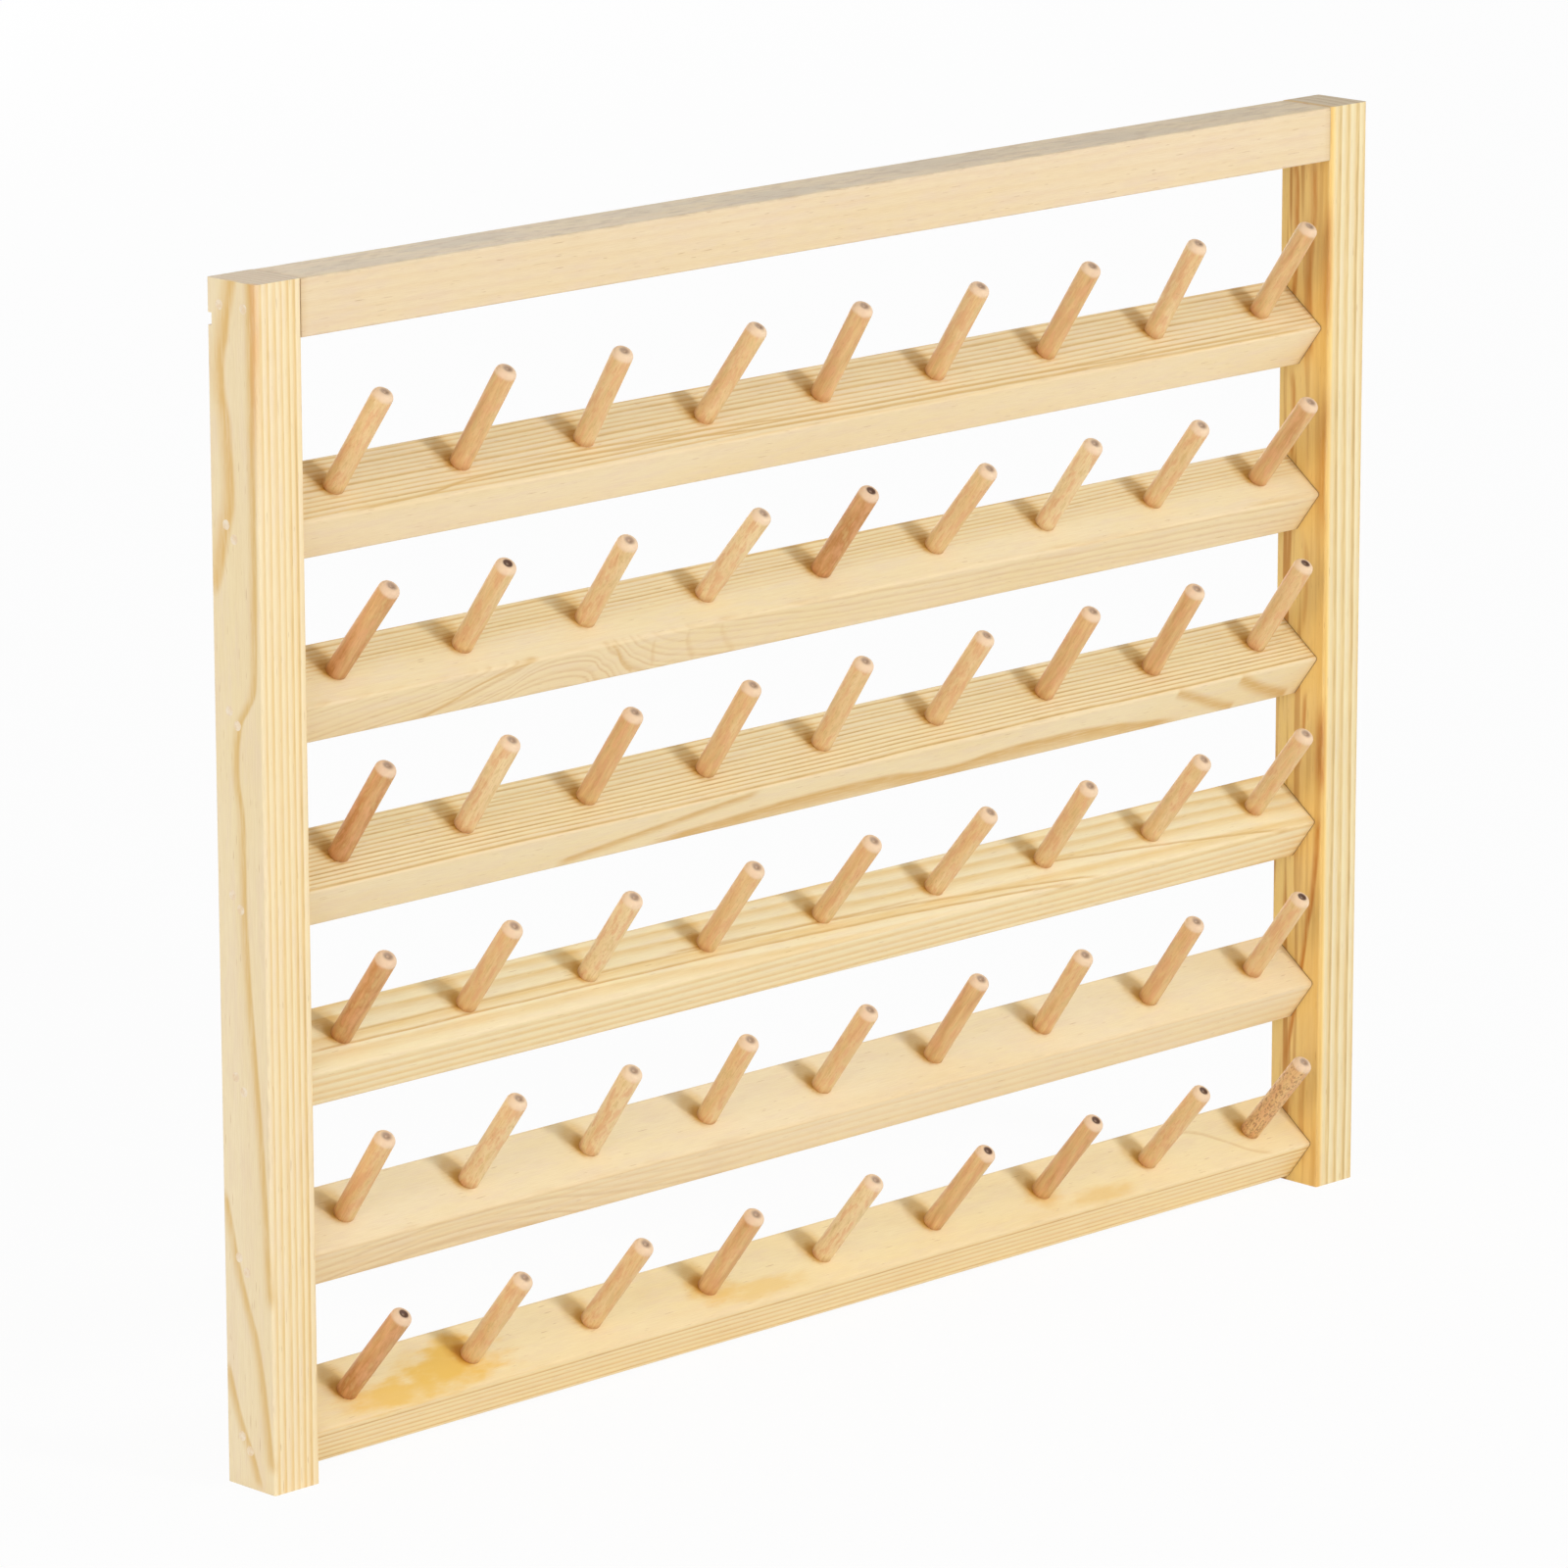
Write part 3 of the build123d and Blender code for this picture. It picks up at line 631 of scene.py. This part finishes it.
# resin on the sixth slat: where it lies across and along, its size, its strength and its colour
resin = {"rich": (0.905, 0.59, 0.14), "thin": (0.89, 0.61, 0.2), "dull": (0.87, 0.59, 0.21)}
slatPatches = {5: [
    {"centre": (across, 0.0, along), "size": (wide, 3.0, long), "strength": strength, "colour": resin[kind]}
    for across, along, wide, long, strength, kind in (
        (12.5, -138.0, 9.0, 25.0, 1.0, "rich"), (15.5, -160.0, 6.0, 22.0, 0.85, "rich"),
        (7.0, -134.0, 7.0, 10.0, 1.0, "rich"), (11.0, -42.0, 7.0, 11.0, 0.75, "thin"),
        (15.5, -26.0, 4.0, 22.0, 0.65, "thin"), (12.0, 86.0, 6.0, 8.0, 0.7, "dull"),
        (17.0, 106.0, 4.0, 16.0, 0.7, "dull"))]}
plainFaces = {0: ("across", face, 0.1), 1: ("across", face, 0.1), 2: ("across", face, 0.05), 5: ("deep", 0.0, 0.08)}
slatShade = [(1.0, 0.995, 1.0), (1.0, 1.0, 1.0), (0.99, 1.0, 1.0),
             (1.05, 1.09, 1.11), (1.02, 1.02, 1.03), (1.04, 1.02, 0.94)]
slatArrises = [(face, 0.0), (face, thick), (0.0, 0.0)]
for row in range(6):
    edge = rackSizes["top"] - rackSizes["firstSlatDrop"] - row * rackSizes["slatPitch"]
    # the slats' arrises get a darker amber: painted shade that dims the light along them
    board = {"axes": slatAxes, "origin": (0, 0, edge), "seed": 1500.0 + 700.0 * row, "wood": slatWood[row],
             "arrises": slatArrises, "arrisWearAndShade": ((0.8, 0.585, 0.32), 0.34), "shade": slatShade[row],
             "figures": slatFigures.get(row, []), "lines": slatLines.get(row, []),
             "patches": slatPatches.get(row, []), "pegged": True, "jointed": 0.85}
    if row == 1:
        board["plainPast"] = (8.0, 13.0, 0.08)
    if row in plainFaces:
        board["plainFaces"] = [plainFaces[row]]
    dressBoard(f"slat_{row + 1}", board)
print("slats dressed")


# The pegs: one turned on a lathe, then repeated over the slats by Geometry Nodes
def turnedPeg():
    radius, flat, mark = peg["diameter"] / 2, peg["tipFlat"] / 2, peg["mark"] / 2
    tenon, chamfer, reach = radius - peg["shoulder"], peg["shoulderChamfer"], peg["reach"]
    shoulder = reach - peg["tipLength"]
    side = [(tenon - peg["seatChamfer"], -peg["seat"]), (tenon, peg["seatChamfer"] - peg["seat"]),
            (tenon, -peg["sunk"]), (radius - chamfer, 0.0), (radius, chamfer)]
    for n in range(1, peg["shaftSteps"] + 1):
        side.append((radius, chamfer + (shoulder - chamfer) * n / peg["shaftSteps"]))
    for n in range(1, peg["tipSteps"] + 1):
        turn = math.radians(90 * n / peg["tipSteps"])
        side.append((flat + (radius - flat) * math.cos(turn), shoulder + peg["tipLength"] * math.sin(turn)))
    side += [(mark + peg["markRim"], reach), (mark, reach - peg["markBevel"]),
             (peg["mark"] / 5, reach - peg["markDepth"])]
    shape = bmesh.new()
    rings = []
    for r, z in side:
        rings.append([shape.verts.new((r * mm * math.cos(a), r * mm * math.sin(a), z * mm))
                      for a in (2 * math.pi * n / peg["sides"] for n in range(peg["sides"]))])
    for low, high in zip(rings, rings[1:]):
        for n in range(peg["sides"]):
            m = (n + 1) % peg["sides"]
            shape.faces.new((low[n], low[m], high[m], high[n]))
    shape.faces.new(rings[0][::-1])
    shape.faces.new(rings[-1])
    for face in shape.faces:
        face.smooth = True
    mesh = bpy.data.meshes.new("pegs")
    shape.to_mesh(mesh)
    shape.free()
    # where each point lies on the peg, in mm: up from the slat, and out from the axis
    for name in ("pegUp", "pegOut"):
        mesh.attributes.new(name, "FLOAT", "POINT")
    up, out = mesh.attributes["pegUp"], mesh.attributes["pegOut"]
    for n, point in enumerate(mesh.vertices):
        up.data[n].value = point.co.z / mm
        out.data[n].value = math.hypot(point.co.x, point.co.y) / mm
    return mesh


def pegTree(material):
    tree = bpy.data.node_groups.new("pegRows", "GeometryNodeTree")
    newSocket(tree, "Geometry", "Geometry")
    sizes = {"Rows": peg["rows"], "Places": peg["places"], "Pitch": peg["pitch"] * mm,
             "Row Pitch": peg["rowPitch"] * mm, "First Height": 0.0, "First Depth": 0.0, "Tilt": tilt,
             "Lean": math.radians(peg["lean"]), "Shorter": peg["shorter"], "Seed": peg["seed"]}
    for name, value in sizes.items():
        newSocket(tree, name, "Int" if isinstance(value, int) else "Float", value)
    newSocket(tree, "Geometry", "Geometry", way="OUTPUT")
    given = tree.nodes.new("NodeGroupInput").outputs

    index = tree.nodes.new("GeometryNodeInputIndex").outputs[0]
    row = maths(tree, "FLOOR", maths(tree, "DIVIDE", maths(tree, "ADD", index, 0.5), given["Places"]))
    place = minus(tree, index, times(tree, row, given["Places"]))
    middle = times(tree, minus(tree, given["Places"], 1.0), 0.5)
    x = times(tree, minus(tree, place, middle), given["Pitch"])
    z = minus(tree, given["First Height"], times(tree, row, given["Row Pitch"]))
    points = tree.nodes.new("GeometryNodePoints")
    fill(tree, points, {"Count": times(tree, given["Rows"], given["Places"]),
                        "Position": joined(tree, x, given["First Depth"], z)})

    def chance(low, high, shift):
        node = tree.nodes.new("FunctionNodeRandomValue")
        node.data_type = "FLOAT"
        sockets = {socket.name: socket for socket in node.inputs if socket.enabled}
        for name, value in (("Min", low), ("Max", high), ("Seed", maths(tree, "ADD", given["Seed"], shift))):
            feed(tree, sockets[name], value)
        return [socket for socket in node.outputs if socket.enabled][0]

    def listed(number, angles):
        node = tree.nodes.new("GeometryNodeIndexSwitch")
        node.data_type = "FLOAT"
        while len(node.index_switch_items) < len(angles):
            node.index_switch_items.new()
        feed(tree, node.inputs["Index"], number)
        for socket, angle in zip([s for s in node.inputs if s.name != "Index"], angles):
            feed(tree, socket, math.radians(angle))
        return node.outputs[0]

    leanX = chance(times(tree, given["Lean"], -1.0), given["Lean"], 1)
    leanX = maths(tree, "ADD", leanX, listed(row, peg["forward"]))
    leanY = times(tree, listed(index, pegLeans), 1.0 / math.cos(tilt))
    spin = chance(0.0, 2 * math.pi, 3)
    cut = minus(tree, 1.0, chance(0.0, given["Shorter"], 4))
    put = tree.nodes.new("GeometryNodeInstanceOnPoints")
    turned = joined(tree, maths(tree, "ADD", given["Tilt"], leanX), leanY, 0.0)
    fill(tree, put, {"Points": points.outputs[0], "Instance": given["Geometry"], "Rotation": turned,
                     "Scale": joined(tree, 1.0, 1.0, cut)})
    turn = tree.nodes.new("GeometryNodeRotateInstances")
    fill(tree, turn, {"Instances": put.outputs[0], "Rotation": joined(tree, 0.0, 0.0, spin), "Local Space": True})
    made = turn.outputs[0]
    for name, value in (("pegTone", chance(0.0, 1.0, 5)), ("pegNumber", index)):
        keep = tree.nodes.new("GeometryNodeStoreNamedAttribute")
        keep.data_type = "FLOAT"
        keep.domain = "INSTANCE"
        fill(tree, keep, {"Name": name, "Geometry": made, "Value": value})
        made = keep.outputs[0]
    real = tree.nodes.new("GeometryNodeRealizeInstances")
    fill(tree, real, {"Geometry": made})
    finish = tree.nodes.new("GeometryNodeSetMaterial")
    fill(tree, finish, {"Geometry": real.outputs[0], "Material": material})
    fill(tree, tree.nodes.new("NodeGroupOutput"), {"Geometry": finish.outputs[0]})
    return tree


beech = {
    "dark": (0.58, 0.275, 0.095), "middle": (0.815, 0.54, 0.25), "pale": (0.905, 0.705, 0.405),
    "rosy": (0.79, 0.425, 0.215), "tan": (0.72, 0.52, 0.23), "fibre": (0.84, 0.74, 0.62),
    "fleck": (0.52, 0.27, 0.11), "speckle": (0.4, 0.19, 0.08), "foot": (0.52, 0.23, 0.09),
    "tip": (0.9, 0.69, 0.5), "heart": (0.1, 0.045, 0.025), "endGrey": (0.31, 0.2, 0.145),
    "tones": (0.3, 0.42), "roughness": (0.42, 0.56), "skin": (0.35, 0.00008, 0.36),
}
beechNoise = {
    "slow": ((0.42, 0.42, 0.045), 3.0, 0.55),
    "streaks": ((3.4, 3.4, 0.16), 4.0, 0.6),
    "blotch": ((0.55, 0.55, 0.17), 3.0, 0.6),
    "flecks": ((3.0, 3.0, 0.85), 1.0, 0.4, 0.64, 0.74, 0.0, 0.3),
    "dots": ((1.5, 1.5, 0.8), 2.0, 0.7, 0.5, 0.61, 0.0, 0.7),
}
# pegs that stand out, by row and place from the top left; a tone goes from 0, dark, to 1, pale
pegsApart = {
    "darker": {(3, 1): 0.06, (6, 1): 0.04, (2, 5): 0.1, (2, 1): 0.16, (4, 1): 0.22, (6, 7): 0.24},
    "paler": {(2, 7): 1.0, (4, 3): 0.96, (5, 3): 0.94, (3, 2): 0.88, (5, 2): 0.85, (2, 4): 0.88, (6, 5): 0.97},
    "darkHeart": [(6, 1), (2, 5), (3, 9), (5, 9), (6, 8), (2, 2), (6, 7), (6, 6)],
    "speckled": [(6, 9)],
}


def readAttribute(tree, name):
    node = tree.nodes.new("ShaderNodeAttribute")
    node.attribute_name = name
    return node.outputs["Fac"]


def beechMaterial():
    material, tree, surface = newMaterial("pegBeech")
    up, out, tone, heart, speckle = (
        readAttribute(tree, name) for name in ("pegUp", "pegOut", "pegTone", "pegHeart", "pegSpeckle"))
    place = millimetres(tree, (-tilt, 0, 0))[0]
    slow, streaks, blotch, flecks, dots = (grained(tree, place, look) for look in beechNoise.values())
    shade = swayed(tree, tone, slow, 1.1, clamp=True)
    colour = ramp(tree, shade, [(0.0, beech["dark"]), (0.42, beech["middle"]), (1.0, beech["pale"])])
    colour = mixed(tree, remap(tree, blotch, 0.46, 0.64, 0.0, 0.6), colour, beech["rosy"])
    colour = mixed(tree, remap(tree, blotch, 0.46, 0.32, 0.0, 0.55), colour, beech["tan"])
    colour = mixed(tree, remap(tree, streaks, 0.42, 0.72, 0.0, 0.55), colour, beech["fibre"], "MULTIPLY")
    colour = mixed(tree, flecks, colour, beech["fleck"])
    colour = mixed(tree, times(tree, speckle, dots), colour, beech["speckle"])
    # the sanded tip shows paler end grain, with the lathe's mark in its middle
    reach = peg["reach"]
    tip = remap(tree, timesPlus(tree, slow, -1.2, up), reach - 2.9, reach - 1.7, 0.0, 0.72)
    colour = mixed(tree, tip, colour, beech["tip"])
    end = remap(tree, up, reach - 0.75, reach - 0.15)
    middle = times(tree, end, remap(tree, out, 0.7, 1.9, 0.8, 0.0))
    colour = mixed(tree, middle, colour, beech["endGrey"])
    heartSpot = times(tree, times(tree, end, heart), remap(tree, out, 1.1, 1.5, 1.0, 0.0))
    colour = mixed(tree, heartSpot, colour, beech["heart"])
    # the foot is darker near the slat: partly a glue and handling stain, partly painted contact shade where the peg
    # meets the slat
    foot = remap(tree, timesPlus(tree, slow, 2.6, up), 0.9, 3.4, 0.42, 0.0)
    colour = mixed(tree, foot, colour, beech["foot"])
    rough = remap(tree, streaks, 0.3, 0.7, *beech["roughness"], False)
    finished(tree, surface, colour, rough, timesPlus(tree, flecks, -0.5, streaks), beech["skin"])
    return material


def makePegs():
    material = beechMaterial()
    piece = bpy.data.objects.new("pegs", turnedPeg())
    bpy.context.scene.collection.objects.link(piece)
    tree = pegTree(material)
    modifier = piece.modifiers.new("pegRows", "NODES")
    modifier.node_group = tree
    first = rackSizes["top"] - rackSizes["firstSlatDrop"] - peg["setback"] * math.sin(tilt)
    given = {"First Height": first * mm, "First Depth": -peg["setback"] * math.cos(tilt) * mm}
    for socket in tree.interface.items_tree:
        if socket.in_out == "INPUT" and socket.name in given:
            modifier[socket.identifier] = given[socket.name]
    graph = bpy.context.evaluated_depsgraph_get()
    mesh = bpy.data.meshes.new_from_object(piece.evaluated_get(graph))
    piece.modifiers.clear()
    piece.data = mesh
    for name in ("pegHeart", "pegSpeckle"):
        mesh.attributes.new(name, "FLOAT", "POINT")
    number, tone, heart, speckle = (
        mesh.attributes[name] for name in ("pegNumber", "pegTone", "pegHeart", "pegSpeckle"))
    special = {**pegsApart["darker"], **pegsApart["paler"]}
    least, spread = beech["tones"]
    for n in range(len(mesh.vertices)):
        which = round(number.data[n].value)
        spot = (which // peg["places"] + 1, which % peg["places"] + 1)
        tone.data[n].value = special.get(spot, least + spread * tone.data[n].value)
        heart.data[n].value = 1.0 if spot in pegsApart["darkHeart"] else 0.0
        speckle.data[n].value = 1.0 if spot in pegsApart["speckled"] else 0.0
    return piece


pegs = makePegs()
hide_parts(*[f"pegs_row_{n + 1}" for n in range(peg["rows"])])
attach(pegs, "rack")
print("pegs made,", len(pegs.data.polygons), "faces")

# Putty over the brads: paler than the wood, sanded flush, with soft darker patches and grit
putty = {"colour": (0.96, 0.84, 0.67), "shade": (0.88, 0.69, 0.45), "grit": (0.7, 0.5, 0.28),
         "roughness": (0.55, 0.72), "skin": (0.3, 0.0001, 0.5)}


def puttyMaterial():
    material, tree, surface = newMaterial("fillerPutty")
    place = millimetres(tree)[0]
    grit = noise(tree, place, 2.4, 3.0, 0.6)
    soft = noise(tree, place, 0.55, 2.0, 0.5)
    colour = mixed(tree, remap(tree, soft, 0.3, 0.7), putty["colour"], putty["shade"])
    colour = mixed(tree, remap(tree, grit, 0.5, 0.75, 0.0, 0.5), colour, putty["grit"])
    rough = remap(tree, grit, 0.3, 0.7, *putty["roughness"], False)
    finished(tree, surface, colour, rough, grit, putty["skin"])
    return material


# Zinc plate on the hangers: a warm-grey bright metal with fine scratches and duller hollows
zinc = {kind: {"bright": bright, "dull": dull, "grain": grain, "roughness": roughness}
        for kind, bright, dull, grain, roughness in (
            ("plate", (0.72, 0.71, 0.66), (0.47, 0.46, 0.43), (60, 60, 900), (0.28, 0.46)),
            ("ring", (0.76, 0.75, 0.71), (0.5, 0.49, 0.46), (500, 500, 500), (0.22, 0.4)),
            ("screw", (0.78, 0.76, 0.7), (0.42, 0.41, 0.39), (700, 80, 700), (0.25, 0.44)),
            ("brad", (0.62, 0.61, 0.59), (0.38, 0.37, 0.36), (90, 900, 900), (0.34, 0.52)))}
zincSkin = (0.25, 0.00004, 0.5)


def zincMaterial(name, look):
    material, tree, surface = newMaterial(name)
    place = tree.nodes.new("ShaderNodeTexCoord").outputs["Object"]
    scratches = noise(tree, vectorMaths(tree, "MULTIPLY", place, look["grain"]), 3.0, 4.0, 0.65)
    bloom = noise(tree, place, 420.0, 3.0, 0.55)
    wear = timesPlus(tree, bloom, 0.6, times(tree, scratches, 0.5))
    colour = mixed(tree, remap(tree, wear, 0.42, 0.68), look["bright"], look["dull"])
    finished(tree, surface, colour, remap(tree, wear, 0.35, 0.75, *look["roughness"], False), scratches, zincSkin)
    fill(tree, surface, {"Metallic": 1.0})
    return material


dressIn(("left_fillers", "right_fillers"), puttyMaterial())
for kind, ending in (("plate", "hanger_plate"), ("ring", "hanger_ring"), ("screw", "hanger_screw"), ("brad", "brads")):
    dressIn([f"{side}_{ending}" for side in ("left", "right")], zincMaterial(kind + "Zinc", zinc[kind]))
print("putty and hangers dressed")

# The studio: a pale floor under the rack's feet, soft lamps and an even pale surround
studio = {
    "floorSize": 24.0, "floorColour": (0.93, 0.93, 0.93), "floorRoughness": 0.9, "floorWhite": 0.94,
    "surround": 0.47, "surroundTint": (1.0, 0.995, 0.985), "overhead": (0.88, 0.95, 1.08),
}
lamps = {name: {"towards": towards, "distance": distance, "size": size, "level": level, "colour": colour}
         for name, towards, distance, size, level, colour in (
             ("key", (0.22, -0.9, 0.36), 2.6, 0.42, 0.33, (1.0, 0.985, 0.955)),
             ("leftFill", (-0.95, -0.28, 0.14), 3.0, 2.2, 0.48, (1.0, 0.925, 0.84)),
             ("rightFill", (0.85, -0.5, 0.2), 3.0, 1.4, 0.13, (1.0, 0.985, 0.965)),
             ("backFill", (0.4, 0.9, 0.1), 3.0, 2.2, 0.3, (1.0, 0.97, 0.93)))}
rackMiddle = (cadBox[0] + cadBox[1]) / 2


def seenDirectly(tree):
    path = tree.nodes.new("ShaderNodeLightPath").outputs
    direct = maths(tree, "MAXIMUM", path["Is Camera Ray"], path["Is Glossy Ray"])
    return maths(tree, "MAXIMUM", direct, path["Is Transmission Ray"])


def blended(tree, amount, first, second, target):
    node = tree.nodes.new("ShaderNodeMixShader")
    for socket, value in zip(node.inputs, (amount, first.outputs[0], second.outputs[0])):
        feed(tree, socket, value)
    tree.links.new(node.outputs[0], tree.nodes[target].inputs["Surface"])


def makeFloor():
    reach, low = studio["floorSize"] / 2, rackSizes["bottom"] * mm
    corners = [(-reach, -reach, low), (reach, -reach, low), (reach, reach, low), (-reach, reach, low)]
    mesh = bpy.data.meshes.new("floor")
    mesh.from_pydata(corners, [], [(0, 1, 2, 3)])
    floor = bpy.data.objects.new("floor", mesh)
    bpy.context.scene.collection.objects.link(floor)
    material, tree, surface = newMaterial("paleFloor")
    fill(tree, surface, {"Base Color": colourOf(studio["floorColour"]), "Roughness": studio["floorRoughness"],
                         "Specular IOR Level": 0.0})
    white = tree.nodes.new("ShaderNodeEmission")
    blended(tree, times(tree, seenDirectly(tree), studio["floorWhite"]), surface, white, "Material Output")
    mesh.materials.append(material)


def makeSurround():
    world = bpy.data.worlds.new("paleStudio")
    bpy.context.scene.world = world
    world.use_nodes = True
    tree = world.node_tree
    soft, white = tree.nodes["Background"], tree.nodes.new("ShaderNodeBackground")
    height = splitUp(tree, tree.nodes.new("ShaderNodeTexCoord").outputs["Generated"])[2]
    tint = mixed(tree, remap(tree, height, 0.6, 0.97), studio["surroundTint"], studio["overhead"])
    fill(tree, soft, {"Color": tint, "Strength": studio["surround"]})
    fill(tree, white, {"Color": (1, 1, 1, 1)})
    blended(tree, seenDirectly(tree), soft, white, "World Output")


def makeLamps():
    for name, lamp in lamps.items():
        data = bpy.data.lights.new(name, "AREA")
        data.shape = "SQUARE"
        data.size = lamp["size"]
        data.color = lamp["colour"]
        data.energy = lamp["level"] * math.pi ** 2 * lamp["distance"] ** 2
        light = bpy.data.objects.new(name, data)
        bpy.context.scene.collection.objects.link(light)
        direction = Vector(lamp["towards"]).normalized()
        light.location = rackMiddle + direction * lamp["distance"]
        light.rotation_euler = direction.to_track_quat("Z", "Y").to_euler()


# The photo's view, worked out for a 1600 x 1600 picture
view = {"place": (-1.5275502, -1.5492424, 0.3688408), "yaw": -44.491559, "pitch": 13.570476, "roll": -0.118533,
        "focal": 8517.139, "picture": 1600.0, "sensor": 36.0, "farthest": 60.0}


def makeCamera():
    data = bpy.data.cameras.new("photoView")
    data.sensor_width = view["sensor"]
    data.lens = view["focal"] / view["picture"] * view["sensor"]
    data.clip_end = view["farthest"]
    camera = bpy.data.objects.new("photoView", data)
    bpy.context.scene.collection.objects.link(camera)
    yaw, pitch, roll = (math.radians(view[name]) for name in ("yaw", "pitch", "roll"))
    turn = Matrix.Rotation(math.pi / 2 - pitch, 4, "X") @ Matrix.Rotation(roll, 4, "Z")
    turn = Matrix.Rotation(yaw, 4, "Z") @ turn
    camera.matrix_world = Matrix.Translation(view["place"]) @ turn
    bpy.context.scene.camera = camera


makeFloor()
makeSurround()
makeLamps()
makeCamera()
bpy.context.scene.view_settings.view_transform = "Standard"
print("studio ready")
